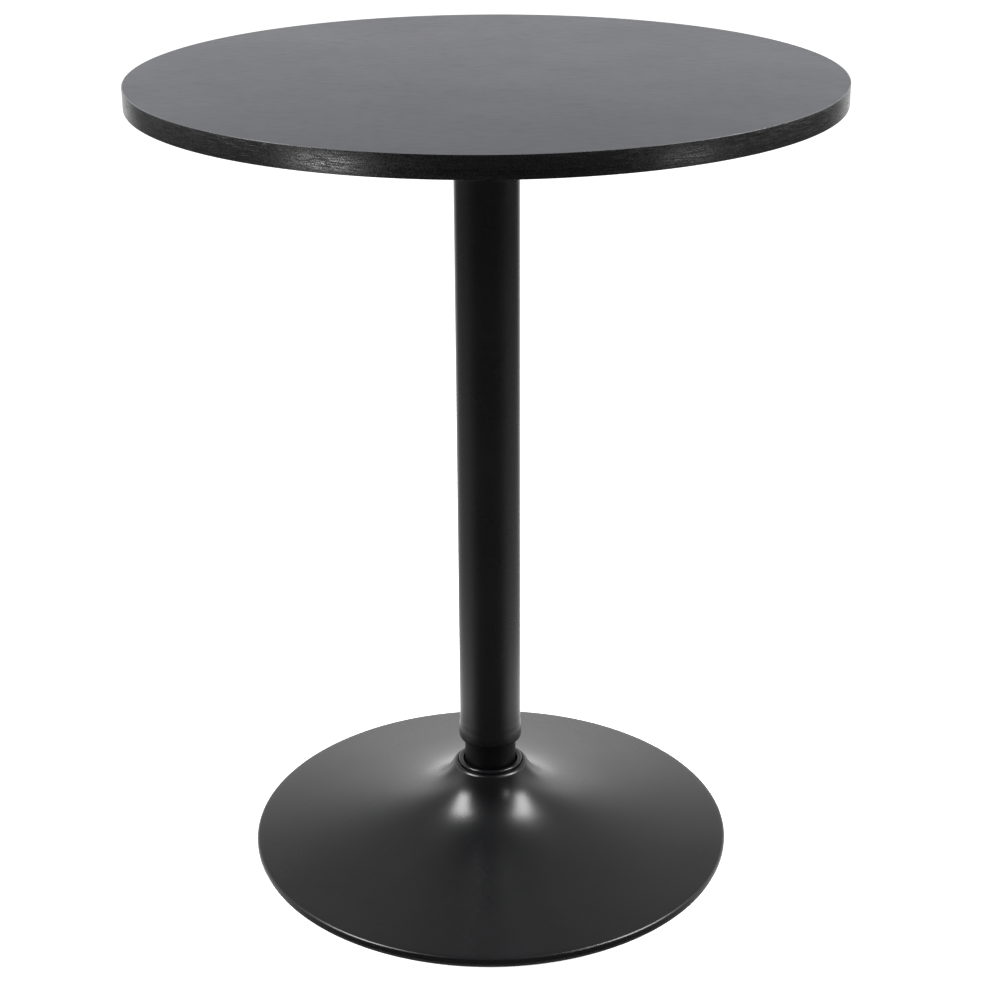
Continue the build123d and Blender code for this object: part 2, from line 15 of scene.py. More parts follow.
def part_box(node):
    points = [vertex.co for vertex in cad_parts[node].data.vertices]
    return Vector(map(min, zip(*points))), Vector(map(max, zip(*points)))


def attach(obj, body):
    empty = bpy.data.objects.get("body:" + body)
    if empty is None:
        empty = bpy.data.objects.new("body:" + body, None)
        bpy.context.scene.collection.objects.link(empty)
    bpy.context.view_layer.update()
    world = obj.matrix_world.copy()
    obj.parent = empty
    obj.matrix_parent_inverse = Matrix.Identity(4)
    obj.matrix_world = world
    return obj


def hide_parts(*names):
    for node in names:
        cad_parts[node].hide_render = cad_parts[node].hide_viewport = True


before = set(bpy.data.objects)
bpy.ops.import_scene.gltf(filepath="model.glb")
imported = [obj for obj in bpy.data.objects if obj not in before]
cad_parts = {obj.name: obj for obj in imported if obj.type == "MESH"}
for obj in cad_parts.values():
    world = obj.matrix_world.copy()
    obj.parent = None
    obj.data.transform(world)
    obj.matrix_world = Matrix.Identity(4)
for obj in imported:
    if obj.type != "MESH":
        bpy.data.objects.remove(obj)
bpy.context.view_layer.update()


# ---------------------------------------------------------------------------------------------
# Floor ring. A moulded rubber ring is pushed up into the rim of the base, so that the painted
# edge never touches the floor. Its lower edge stands a little inside the rim and is rounded.
# ---------------------------------------------------------------------------------------------

MM = 0.001
ROUND_STEPS = 256


def section(corners):
    """A bmesh with a closed half-section in the XZ plane. A corner is radius, height, rounding."""
    mesh = bmesh.new()
    points = [mesh.verts.new((corner[0], 0, corner[1])) for corner in corners]
    for start, end in zip(points, points[1:] + points[:1]):
        mesh.edges.new((start, end))
    for point, corner in zip(points, corners):
        if len(corner) > 2:
            bmesh.ops.bevel(
                mesh, geom=[point], offset=corner[2], affect="VERTICES",
                segments=5, profile=0.5, material=-1,
            )
    return mesh


def turn_round(mesh, steps=ROUND_STEPS):
    """Spins a half-section a full turn about Z and leaves one closed skin that faces outward."""
    bmesh.ops.spin(
        mesh, geom=mesh.verts[:] + mesh.edges[:], cent=(0, 0, 0), axis=(0, 0, 1),
        angle=2 * pi, steps=steps, use_merge=True,
    )
    bmesh.ops.remove_doubles(mesh, verts=mesh.verts, dist=MM / 100)
    bmesh.ops.recalc_face_normals(mesh, faces=mesh.faces)
    return mesh


def make_piece(name, mesh, finish, body, slot, *stands_for):
    """Turns a bmesh into a smooth-shaded piece that rides on a body in place of CAD nodes."""
    data = bpy.data.meshes.new(name)
    mesh.to_mesh(data)
    mesh.free()
    data.shade_smooth()
    data.set_sharp_from_angle(angle=radians(38))
    data.materials.append(finish)
    piece = bpy.data.objects.new(name, data)
    bpy.context.scene.collection.objects.link(piece)
    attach(piece, body)
    if stands_for:
        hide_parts(*stands_for)
    return piece


def put(tree, kind, settings=None, **sockets):
    """Adds a node, sets its options, and fills inputs by name, or by number as i0, i1, ..."""
    node = tree.nodes.new("ShaderNode" + kind)
    for option, value in (settings or {}).items():
        setattr(node, option, value)
    for label, value in sockets.items():
        place = int(label[1:]) if label[1:].isdigit() else label.replace("_", " ")
        if isinstance(value, bpy.types.NodeSocket):
            tree.links.new(value, node.inputs[place])
        else:
            node.inputs[place].default_value = value
    return node


def calculate(tree, operation, *values):
    """A Math node's result."""
    inputs = {f"i{place}": value for place, value in enumerate(values)}
    return put(tree, "Math", {"operation": operation}, **inputs).outputs[0]


def remap(tree, value, low, high, to_low, to_high):
    """A Map Range node's result, which eases in and out between its two ends."""
    return put(
        tree, "MapRange", {"interpolation_type": "SMOOTHSTEP"},
        Value=value, From_Min=low, From_Max=high, To_Min=to_low, To_Max=to_high,
    ).outputs["Result"]


def start_group(name, inputs, outputs):
    """A shader node group with named inputs (name: default) and float outputs."""
    group = bpy.data.node_groups.new(name, "ShaderNodeTree")
    for label, default in inputs.items():
        kind = "NodeSocketVector" if default is None else "NodeSocketFloat"
        socket = group.interface.new_socket(name=label, in_out="INPUT", socket_type=kind)
        if default is not None:
            socket.default_value = default
    for label in outputs:
        group.interface.new_socket(name=label, in_out="OUTPUT", socket_type="NodeSocketFloat")
    entry = group.nodes.new("NodeGroupInput")
    leave = group.nodes.new("NodeGroupOutput")
    return group, entry.outputs, leave.inputs


def use_group(tree, group, **sockets):
    """Places a node group in a material with its own values."""
    return put(tree, "Group", {"node_tree": group}, **sockets).outputs


def start_material(name):
    """A material with its Principled shader and the Object coordinates."""
    material = bpy.data.materials.new(name)
    material.use_nodes = True
    tree = material.node_tree
    shader = tree.nodes["Principled BSDF"]
    place = tree.nodes.new("ShaderNodeTexCoord").outputs["Object"]
    return material, tree, shader, place


def mix_colour(tree, mask, low, high):
    """A colour between two, by a mask. A Mix node's colours are inputs 6 and 7, and output 2."""
    ends = [end if isinstance(end, bpy.types.NodeSocket) else (*end, 1) for end in (low, high)]
    node = put(tree, "Mix", {"data_type": "RGBA"}, Factor=mask, i6=ends[0], i7=ends[1])
    return node.outputs[2]


def scaled(tone, amount):
    """A colour made lighter or darker."""
    return [value * amount for value in tone]


def raise_surface(tree, shader, height, depth):
    """Feeds a height through a Bump node into the shader's normal."""
    bump = put(tree, "Bump", Height=height, Distance=depth, Strength=1.0)
    tree.links.new(bump.outputs["Normal"], shader.inputs["Normal"])


# Moulded surfaces have a fine even texture, and a slower unevenness in how matt they are.
moulded_texture, given, result = start_group(
    "moulded_texture", {"Position": None, "Grain Scale": 1800.0}, ["Grain", "Patches"]
)
grain = put(
    moulded_texture, "TexNoise", Vector=given["Position"], Scale=given["Grain Scale"], Detail=2.0
)
patches = put(moulded_texture, "TexNoise", Vector=given["Position"], Scale=22.0, Detail=4.0)
moulded_texture.links.new(grain.outputs["Fac"], result["Grain"])
moulded_texture.links.new(patches.outputs["Fac"], result["Patches"])

# Dust lies on what faces up, thicker in some places than others.
settled_dust, given, result = start_group(
    "settled_dust", {"Position": None, "Amount": 0.1}, ["Dust"]
)
facing = put(settled_dust, "SeparateXYZ", Vector=put(settled_dust, "NewGeometry").outputs["Normal"])
upward = remap(settled_dust, facing.outputs["Z"], 0.2, 1.0, 0.0, 1.0)
drift = put(
    settled_dust, "TexNoise", Vector=given["Position"], Scale=14.0, Detail=8.0, Roughness=0.7
)
thick = remap(settled_dust, drift.outputs["Fac"], 0.2, 0.85, 0.0, 1.0)
dust = calculate(settled_dust, "MULTIPLY", upward, thick)
dust = calculate(settled_dust, "MULTIPLY", dust, given["Amount"])
settled_dust.links.new(dust, result["Dust"])

# Corners are rubbed in short patches: a mask from how sharply the surface turns.
rubbed_corners, given, result = start_group(
    "rubbed_corners", {"Position": None, "Amount": 0.5}, ["Rub"]
)
turning = put(rubbed_corners, "NewGeometry").outputs["Pointiness"]
corner = remap(rubbed_corners, turning, 0.58, 0.68, 0.0, 1.0)
scuffs = put(rubbed_corners, "TexNoise", Vector=given["Position"], Scale=60.0, Detail=6.0)
patch = remap(rubbed_corners, scuffs.outputs["Fac"], 0.48, 0.62, 0.0, 1.0)
rub = calculate(rubbed_corners, "MULTIPLY", corner, patch)
rub = calculate(rubbed_corners, "MULTIPLY", rub, given["Amount"])
rubbed_corners.links.new(rub, result["Rub"])


def rubber(name, tone, roughness):
    """Black rubber: matt, finely textured, with a grey bloom."""
    grain_depth = 0.08 * MM
    uneven = 0.07
    material, tree, shader, place = start_material(name)
    texture = use_group(tree, moulded_texture, Position=place, Grain_Scale=2200.0)
    bloom = remap(tree, texture["Patches"], 0.35, 0.7, 0.0, 1.0)
    colour = mix_colour(tree, bloom, tone, scaled(tone, 1.7))
    tree.links.new(colour, shader.inputs["Base Color"])
    tree.links.new(
        remap(tree, texture["Patches"], 0.3, 0.7, roughness - uneven, roughness + uneven),
        shader.inputs["Roughness"],
    )
    raise_surface(tree, shader, texture["Grain"], grain_depth)
    return material


black_rubber = rubber("black_rubber", (0.012, 0.012, 0.0125), 0.68)

ring_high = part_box("floor_ring")[1]
ring_lip = 3.5 * MM
ring_inside = ring_high.x - 9 * MM
rim_wall_and_gap = 2.08 * MM
rim_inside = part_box("base_trumpet")[1].x - rim_wall_and_gap
ring_section = section([
    (ring_inside, 0, 0.5 * MM),
    (ring_high.x, 0, 0.7 * MM),
    (ring_high.x, ring_lip, 0.6 * MM),
    (rim_inside, ring_lip),
    (rim_inside, ring_high.z, 0.5 * MM),
    (ring_inside, ring_high.z, 0.5 * MM),
])
make_piece(
    "floor_gasket", turn_round(ring_section), black_rubber, "base", "black_rubber", "floor_ring"
)


# ---------------------------------------------------------------------------------------------
# Trumpet base. One disc of 2 mm sheet steel is pressed into a flare: a steep throat round the
# column, a long sweep out to the rim, and a small turned-down edge. It is powder coated black.
# ---------------------------------------------------------------------------------------------

# Powder coat flows out to a faint orange peel, with a slow change in gloss over the piece.
orange_peel, given, result = start_group(
    "orange_peel", {"Position": None, "Peel Scale": 420.0}, ["Height", "Gloss"]
)
peel = put(
    orange_peel, "TexNoise", Vector=given["Position"], Scale=given["Peel Scale"], Detail=2.0,
    Roughness=0.45,
)
flow = put(orange_peel, "TexNoise", Vector=given["Position"], Scale=9.0, Detail=3.0)
orange_peel.links.new(peel.outputs["Fac"], result["Height"])
orange_peel.links.new(flow.outputs["Fac"], result["Gloss"])


def powder_coat(name, tone, roughness, dust, rub=0.3):
    """Satin black powder coat with orange peel, a little dust and rubbed corners."""
    peel_depth = 0.012 * MM
    uneven = 0.04
    dust_tone, bare_tone = (0.30, 0.30, 0.31), (0.10, 0.10, 0.105)
    material, tree, shader, place = start_material(name)
    coat = use_group(tree, orange_peel, Position=place, Peel_Scale=420.0)
    film = use_group(tree, settled_dust, Position=place, Amount=dust)["Dust"]
    worn = use_group(tree, rubbed_corners, Position=place, Amount=rub)["Rub"]
    patchy = remap(tree, coat["Gloss"], 0.15, 0.85, 0.0, 1.0)
    colour = mix_colour(tree, patchy, scaled(tone, 0.8), scaled(tone, 1.2))
    colour = mix_colour(tree, film, colour, dust_tone)
    colour = mix_colour(tree, worn, colour, bare_tone)
    tree.links.new(colour, shader.inputs["Base Color"])
    gloss = remap(tree, coat["Gloss"], 0.15, 0.85, roughness - uneven, roughness + uneven)
    gloss = calculate(tree, "ADD", gloss, calculate(tree, "MULTIPLY", film, 0.8))
    gloss = calculate(tree, "ADD", gloss, calculate(tree, "MULTIPLY", worn, 0.3))
    tree.links.new(gloss, shader.inputs["Roughness"])
    raise_surface(tree, shader, coat["Height"], peel_depth)
    return material


base_paint = powder_coat("base_powder_coat", (0.0017, 0.0018, 0.0024), 0.28, dust=0.004)

flare_low, flare_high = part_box("base_trumpet")
sheet = 2 * MM
rim_height = 9 * MM
rim_corner = 2.6 * MM
rim_slope = radians(8)
rim_handle = 144.7 * MM
hub_slope = radians(66)
hub_handle = 36.8 * MM
shoulder_radius = 3.5 * MM
shoulder_steps = 8
throat_radius = 30.6 * MM
throat_flat = 1.2 * MM
throat_edge = 0.7 * MM
skirt_edge = 0.4 * MM


def flare_line(depth, steps):
    """Points down the flare from the throat to the rim's corner, a depth under its surface."""
    corner_radius = flare_high.x - rim_corner
    shoulder = shoulder_radius - depth
    shoulder_out = throat_radius + throat_flat
    shoulder_up = flare_high.z - shoulder_radius
    hub = Vector((
        shoulder_out + shoulder * sin(hub_slope), 0, shoulder_up + shoulder * cos(hub_slope)
    ))
    rim = Vector((
        corner_radius + (rim_corner - depth) * sin(rim_slope),
        0,
        rim_height - rim_corner + (rim_corner - depth) * cos(rim_slope),
    ))
    hub_control = hub + Vector((cos(hub_slope), 0, -sin(hub_slope))) * hub_handle
    rim_control = rim + Vector((-cos(rim_slope), 0, sin(rim_slope))) * rim_handle
    line = []
    for step in range(shoulder_steps):
        bend = hub_slope * step / shoulder_steps
        line.append((shoulder_out + shoulder * sin(bend), shoulder_up + shoulder * cos(bend)))
    sweep = interpolate_bezier(hub, hub_control, rim_control, rim, steps)
    return line + [(point.x, point.z) for point in sweep]


def corner_line(depth, steps):
    """Points round the rim's corner, from the flare to the skirt."""
    centre = (flare_high.x - rim_corner, rim_height - rim_corner)
    reach = rim_corner - depth
    turn = pi / 2 - rim_slope
    angles = [turn * (1 - step / steps) for step in range(1, steps + 1)]
    return [(centre[0] + reach * cos(angle), centre[1] + reach * sin(angle)) for angle in angles]


outside = flare_line(0, steps=90) + corner_line(0, steps=10)
inside = flare_line(sheet, steps=60) + corner_line(sheet, steps=4)
flare_corners = [
    (throat_radius, flare_high.z, throat_edge),
    *outside,
    (flare_high.x, flare_low.z, skirt_edge),
    (flare_high.x - sheet, flare_low.z, skirt_edge),
    *inside[::-1],
    (throat_radius, flare_high.z - sheet),
]
make_piece(
    "base_flare", turn_round(section(flare_corners)), base_paint, "base", "black_powder_coat",
    "base_trumpet",
)


# ---------------------------------------------------------------------------------------------
# Socket and brace. A thick turned tube stands in the throat of the flare, with a rounded lip
# round the column, and a pressed disc is welded between it and the flare, underneath.
# ---------------------------------------------------------------------------------------------

socket_paint = powder_coat("socket_powder_coat", (0.004, 0.0042, 0.0048), 0.2, dust=0.01)
socket_low, socket_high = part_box("hub_socket")
tube_low, tube_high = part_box("column_tube")
lip_mouth = 1.9 * MM
lip_round = 1.2 * MM
mouth_foot = socket_high.z - 3 * MM
column_seat = socket_low.z + 3 * MM
seat_inside = tube_high.x - 2.3 * MM
socket_bore = tube_high.x + 0.02 * MM
socket_section = section([
    (seat_inside, socket_low.z, 0.5 * MM),
    (socket_high.x, socket_low.z, 0.8 * MM),
    (socket_high.x, socket_high.z, lip_round),
    (tube_high.x + lip_mouth, socket_high.z, lip_round),
    (socket_bore, mouth_foot),
    (socket_bore, column_seat),
    (seat_inside, column_seat),
])
make_piece(
    "socket_ring", turn_round(socket_section), socket_paint, "base", "black_powder_coat",
    "hub_socket",
)


def coat_node(material, *names):
    """Gives CAD nodes that stay as they are a finish."""
    for name in names:
        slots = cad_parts[name].data.materials
        slots.clear()
        slots.append(material)


coat_node(socket_paint, "hub_brace", "column_end_plate")

# Weld beads run round both edges of the brace, on its lower side.
brace_low, brace_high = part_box("hub_brace")
bead_radius = 1.9 * MM
ripples = 60
ripple_height = 0.18 * MM
for name, radius in (
    ("brace_weld_inner", socket_high.x + 0.6 * MM),
    ("brace_weld_outer", brace_high.x - 3.2 * MM),
):
    bead = bmesh.new()
    bmesh.ops.create_circle(
        bead, segments=10, radius=bead_radius,
        matrix=Matrix.Translation((radius, 0, brace_low.z)) @ Matrix.Rotation(pi / 2, 4, "X"),
    )
    turn_round(bead, steps=180)
    for vert in bead.verts:
        ripple = sin(vert.co.to_2d().angle_signed(Vector((1, 0)), 0) * ripples)
        vert.co.z += ripple * ripple_height
    make_piece(name, bead, socket_paint, "base", "black_powder_coat")


# ---------------------------------------------------------------------------------------------
# Column. A drawn steel tube stands in the socket and is closed by a plate at its foot. Only its
# neck shows, between the socket's lip and the sleeve. A plastic bush lines its upper end.
# ---------------------------------------------------------------------------------------------

tube_paint = powder_coat("column_powder_coat", (0.0030, 0.0030, 0.0038), 0.40, dust=0.0)
tube_paint.node_tree.nodes["Principled BSDF"].inputs["Specular IOR Level"].default_value = 0.2
tube_bore = tube_high.x - 2 * MM
tube_edge = 0.3 * MM
tube_section = section([
    (tube_bore, tube_low.z, tube_edge),
    (tube_high.x, tube_low.z, tube_edge),
    (tube_high.x, tube_high.z, tube_edge),
    (tube_bore, tube_high.z, tube_edge),
])
make_piece(
    "column_neck", turn_round(tube_section, steps=128), tube_paint, "base", "black_powder_coat",
    "column_tube",
)


def moulded_plastic(name, tone, roughness):
    """Injection-moulded plastic: a fine spark texture and slightly uneven gloss."""
    grain_depth = 0.04 * MM
    uneven = 0.05
    material, tree, shader, place = start_material(name)
    texture = use_group(tree, moulded_texture, Position=place, Grain_Scale=1600.0)
    worn = use_group(tree, rubbed_corners, Position=place, Amount=0.5)["Rub"]
    colour = mix_colour(tree, texture["Patches"], tone, scaled(tone, 1.4))
    colour = mix_colour(tree, worn, colour, (0.06, 0.06, 0.06))
    tree.links.new(colour, shader.inputs["Base Color"])
    tree.links.new(
        remap(tree, texture["Patches"], 0.3, 0.7, roughness - uneven, roughness + uneven),
        shader.inputs["Roughness"],
    )
    raise_surface(tree, shader, texture["Grain"], grain_depth)
    return material


bush_plastic = moulded_plastic("bush_plastic", (0.012, 0.012, 0.012), 0.42)
coat_node(bush_plastic, "column_guide_bush", "bearing_cage", "rod_guide", "valve_body", "piston")
coat_node(black_rubber, "piston_seal", "rod_seal", "rubber_buffer")


# ---------------------------------------------------------------------------------------------
# Gas spring. A seamless cylinder hangs in the taper socket of the top, and its hard-chromed rod
# stands on a ball thrust bearing in the foot of the column, held by a washer and a clip.
# ---------------------------------------------------------------------------------------------


def ground_steel(name, tone, roughness):
    """Ground bearing steel: fine rings round the axis and a faint oil film."""
    line_depth = 0.004 * MM
    material, tree, shader, place = start_material(name)
    rings = put(
        tree, "Mapping", {"vector_type": "POINT"}, Vector=place, Scale=(60.0, 60.0, 9000.0)
    ).outputs["Vector"]
    lines = put(tree, "TexNoise", Vector=rings, Scale=1.0, Detail=2.0).outputs["Fac"]
    film = put(tree, "TexNoise", Vector=place, Scale=70.0, Detail=5.0).outputs["Fac"]
    colour = mix_colour(tree, film, tone, scaled(tone, 0.78))
    tree.links.new(colour, shader.inputs["Base Color"])
    tree.links.new(
        remap(tree, film, 0.3, 0.7, roughness, roughness + 0.12), shader.inputs["Roughness"]
    )
    shader.inputs["Metallic"].default_value = 1.0
    raise_surface(tree, shader, lines, line_depth)
    return material


bearing_steel = ground_steel("bearing_steel", (0.62, 0.62, 0.63), 0.14)
coat_node(bearing_steel, "lower_race", "upper_race", "bearing_balls", "piston_rod", "valve_pin")
cylinder_paint = powder_coat("cylinder_powder_coat", (0.006, 0.006, 0.0066), 0.28, dust=0.0)
coat_node(cylinder_paint, "pressure_cylinder", "taper_socket", "sleeve_collar")


def zinc_plate(name, tone, roughness):
    """Bright zinc plate: a crystalline mottle, faint yellow in places, duller on the corners."""
    crystal_depth = 0.01 * MM
    yellowed = (tone[0] * 0.92, tone[1] * 0.88, tone[2] * 0.76)
    material, tree, shader, place = start_material(name)
    crystals = put(tree, "TexVoronoi", Vector=place, Scale=900.0).outputs["Distance"]
    stain = put(tree, "TexNoise", Vector=place, Scale=160.0, Detail=5.0).outputs["Fac"]
    worn = use_group(tree, rubbed_corners, Position=place, Amount=0.8)["Rub"]
    tint = remap(tree, stain, 0.4, 0.7, 0.0, 1.0)
    colour = mix_colour(tree, tint, tone, yellowed)
    colour = mix_colour(tree, worn, colour, (0.32, 0.32, 0.33))
    tree.links.new(colour, shader.inputs["Base Color"])
    tree.links.new(
        remap(tree, crystals, 0.0, 0.7, roughness - 0.06, roughness + 0.1),
        shader.inputs["Roughness"],
    )
    shader.inputs["Metallic"].default_value = 1.0
    raise_surface(tree, shader, crystals, crystal_depth)
    return material


zinc = zinc_plate("zinc_plate", (0.56, 0.57, 0.58), 0.32)
coat_node(zinc, "clip_washer", "retaining_clip", "threaded_inserts", "plate_washers", "plate_bolts")
coat_node(zinc, "sleeve_screws", "lever_pivot_pin", "pivot_clip")


# ---------------------------------------------------------------------------------------------
# Sleeve. A thin tube hangs from the top and slides over the column. Its lower end is swaged out
# into a band round a plastic guide bush, and the edge is rolled in to a lip round the column.
# ---------------------------------------------------------------------------------------------

sleeve_paint = powder_coat("sleeve_powder_coat", (0.0036, 0.0037, 0.0044), 0.27, dust=0.0)
sleeve_low, sleeve_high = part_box("column_sleeve")
sleeve_wall = 1.5 * MM
band_swell = 1.0 * MM
sleeve_radius = sleeve_high.x - band_swell
lip_height = 5 * MM
band_height = 5 * MM
band_blend = 13 * MM
lip_bore = tube_high.x + 0.5 * MM
roll_start = 1.4 * MM
roll_inward = 2.4 * MM


def sleeve_line(depth):
    """Points down the sleeve from its head to its lip, a depth under its face."""
    side = sleeve_radius - depth
    band = side + band_swell
    band_bottom = sleeve_low.z + lip_height
    band_top = band_bottom + band_height
    swage_top = band_top + band_blend
    middle = (band_top + swage_top) / 2
    lip = sleeve_low.z + depth
    swage = interpolate_bezier(
        (side, 0, swage_top), (side, 0, middle), (band, 0, middle), (band, 0, band_top), 12
    )
    roll = interpolate_bezier(
        (band, 0, band_bottom), (band, 0, lip + roll_start),
        (band - roll_inward, 0, lip), (lip_bore, 0, lip), 18,
    )
    return [(side, sleeve_high.z)] + [(point.x, point.z) for point in swage + roll]


sleeve_corners = sleeve_line(0) + sleeve_line(sleeve_wall)[::-1]
make_piece(
    "sleeve_tube", turn_round(section(sleeve_corners), steps=160), sleeve_paint, "top",
    "black_powder_coat", "column_sleeve",
)
coat_node(bush_plastic, "sleeve_guide_bush")


# ---------------------------------------------------------------------------------------------
# Plate and housing. A pressed steel plate is bolted up into inserts in the board, and a box
# welded under it holds the taper socket of the gas spring and the pivot of the lever.
# ---------------------------------------------------------------------------------------------

plate_paint = powder_coat("plate_powder_coat", (0.010, 0.010, 0.0106), 0.34, dust=0.0, rub=0.6)
plate_low, plate_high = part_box("mounting_plate")
near = MM / 10


def block(low, high):
    """A bmesh box between two corners."""
    mesh = bmesh.new()
    size = high - low
    bmesh.ops.create_cube(
        mesh, size=1, matrix=Matrix.Translation((low + high) / 2) @ Matrix.Diagonal((*size, 1))
    )
    return mesh


def round_edges(mesh, edges, radius, segments):
    """Bevels edges round."""
    bmesh.ops.bevel(
        mesh, geom=edges, offset=radius, affect="EDGES", segments=segments, profile=0.5, material=-1
    )


def upright(edge):
    """Whether an edge runs along Z."""
    start, end = (vert.co for vert in edge.verts)
    return (start - end).to_2d().length < near


plate_corner = 15 * MM
plate_edge = 0.5 * MM
plate = block(plate_low, plate_high)
round_edges(plate, [edge for edge in plate.edges if upright(edge)], plate_corner, segments=10)
round_edges(plate, [edge for edge in plate.edges if not upright(edge)], plate_edge, segments=3)
make_piece("fixing_plate", plate, plate_paint, "top", "black_powder_coat", "mounting_plate")

box_low, box_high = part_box("lever_housing")
housing_wall = 2.5 * MM
housing_corner = 6 * MM
housing_foot = 1.5 * MM
slot_half = 7 * MM
slot_foot = box_low.z + housing_wall
housing = block(box_low, box_high)
round_edges(
    housing, [edge for edge in housing.edges if upright(edge)], housing_corner, segments=6
)
floor_edges = [
    edge for edge in housing.edges if all(vert.co.z < box_low.z + near for vert in edge.verts)
]
round_edges(housing, floor_edges, housing_foot, segments=4)
lid = [face for face in housing.faces if face.calc_center_median().z > box_high.z - near]
bmesh.ops.delete(housing, geom=lid, context="FACES")


def end_wall(mesh):
    """The faces of the housing's end wall, on the lever's side."""
    return [face for face in mesh.faces if face.calc_center_median().y > box_high.y - near]


# The lever comes out through an open slot, cut along three lines in the end wall.
for normal, spot in (
    ((1, 0, 0), (-slot_half, 0, 0)),
    ((1, 0, 0), (slot_half, 0, 0)),
    ((0, 0, 1), (0, 0, slot_foot)),
):
    around = set()
    for face in end_wall(housing):
        around.update([face, *face.edges, *face.verts])
    bmesh.ops.bisect_plane(housing, geom=list(around), plane_co=spot, plane_no=normal)
slot_faces = []
for face in end_wall(housing):
    middle = face.calc_center_median()
    if abs(middle.x) < slot_half and middle.z > slot_foot:
        slot_faces.append(face)
bmesh.ops.delete(housing, geom=slot_faces, context="FACES")
bmesh.ops.recalc_face_normals(housing, faces=housing.faces)
bmesh.ops.solidify(housing, geom=housing.faces[:], thickness=housing_wall)
make_piece("lever_box", housing, plate_paint, "top", "black_powder_coat", "lever_housing")


# ---------------------------------------------------------------------------------------------
# Release lever. A bent round bar turns on a pin in the housing and presses the valve of the gas
# spring when its outer end is pulled up. A ribbed plastic grip is pushed over that end.
# ---------------------------------------------------------------------------------------------

rod_low, rod_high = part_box("lever_rod")
rod_radius = 4 * MM
rod_height = rod_high.z - rod_radius
bend_at = 40 * MM
bend_radius = 25 * MM
lever_reach = 180 * MM
lever_drop = 34 * MM
rod_edge = 0.8 * MM
lever_end = Vector((0, lever_reach, rod_height - lever_drop))
lever_line = lever_end - Vector((0, bend_at, rod_height))
lever_run = lever_line.normalized()
lever_turn = lever_line.angle(Vector((0, 1, 0)))
tangent = bend_radius * tan(lever_turn / 2)

rod = bmesh.new()
bmesh.ops.create_circle(
    rod, cap_ends=True, segments=40, radius=rod_radius,
    matrix=Matrix.Translation((0, rod_low.y, rod_height)) @ Matrix.Rotation(pi / 2, 4, "X"),
)


def push_on(mesh, face, step):
    """Extrudes one end face of a bar by a vector and returns the new end face."""
    made = bmesh.ops.extrude_face_region(mesh, geom=[face])["geom"]
    end = [item for item in made if isinstance(item, bmesh.types.BMFace)][0]
    bmesh.ops.translate(mesh, vec=step, verts=end.verts)
    return end


first = push_on(rod, rod.faces[:][0], Vector((0, bend_at - tangent - rod_low.y, 0)))
bend = bmesh.ops.spin(
    rod, geom=[first], cent=(0, bend_at - tangent, rod_height - bend_radius), axis=(1, 0, 0),
    angle=-lever_turn, steps=8,
)
bent = [item for item in bend["geom_last"] if isinstance(item, bmesh.types.BMFace)][0]
bend_end = Vector((0, bend_at, rod_height)) + lever_run * tangent
push_on(rod, bent, lever_end - bend_end)
bmesh.ops.remove_doubles(rod, verts=rod.verts, dist=MM / 100)
bmesh.ops.recalc_face_normals(rod, faces=rod.faces)
end_edges = [edge for face in rod.faces if len(face.verts) > 4 for edge in face.edges]
round_edges(rod, end_edges, rod_edge, segments=3)
rod_paint = powder_coat("lever_powder_coat", (0.008, 0.008, 0.0086), 0.26, dust=0.0, rub=0.7)
make_piece("pull_rod", rod, rod_paint, "lever", "black_powder_coat", "lever_rod")

grip_length = 62 * MM
grip_cover = 54 * MM
grip_bore = rod_radius - 0.1 * MM
grip_head = 8.1 * MM
head_foot = 48 * MM
rib_count = 7
first_rib = 10 * MM
rib_pitch = 5.2 * MM
rib_depth = 0.7 * MM
slim_crest = 6.5 * MM
crest_growth = 1.5 * MM
growing_ribs = 4
groove_round, crest_round = 0.5 * MM, 0.6 * MM
grip_corners = [(grip_bore, 0), (6.2 * MM, 0, 0.6 * MM), (6.35 * MM, 6 * MM)]
for rib in range(rib_count):
    foot = first_rib + rib * rib_pitch
    crest = slim_crest + crest_growth * min(1, rib / growing_ribs)
    groove = crest - rib_depth
    grip_corners += [
        (groove, foot, groove_round), (crest, foot + 1.2 * MM, crest_round),
        (crest, foot + 3.2 * MM, crest_round), (groove, foot + 4.4 * MM, groove_round),
    ]
grip_corners += [
    (grip_head, head_foot, 0.8 * MM), (grip_head, grip_length, 4 * MM), (0, grip_length),
    (0, grip_cover), (grip_bore, grip_cover),
]
grip = turn_round(section(grip_corners), steps=72)
lean = Vector((0, 0, 1)).rotation_difference(lever_run).to_matrix().to_4x4()
grip_place = Matrix.Translation(lever_end - lever_run * grip_cover) @ lean
bmesh.ops.transform(grip, matrix=grip_place, verts=grip.verts)
grip_plastic = moulded_plastic("grip_plastic", (0.014, 0.014, 0.0145), 0.48)
make_piece("pull_grip", grip, grip_plastic, "lever", "black_plastic", "lever_grip")


# ---------------------------------------------------------------------------------------------
# Table top. A round 18 mm board has a black laminate with a fine straight wood grain pressed on
# its upper face, a plain backing laminate below, and a 1 mm band glued round the edge.
# ---------------------------------------------------------------------------------------------

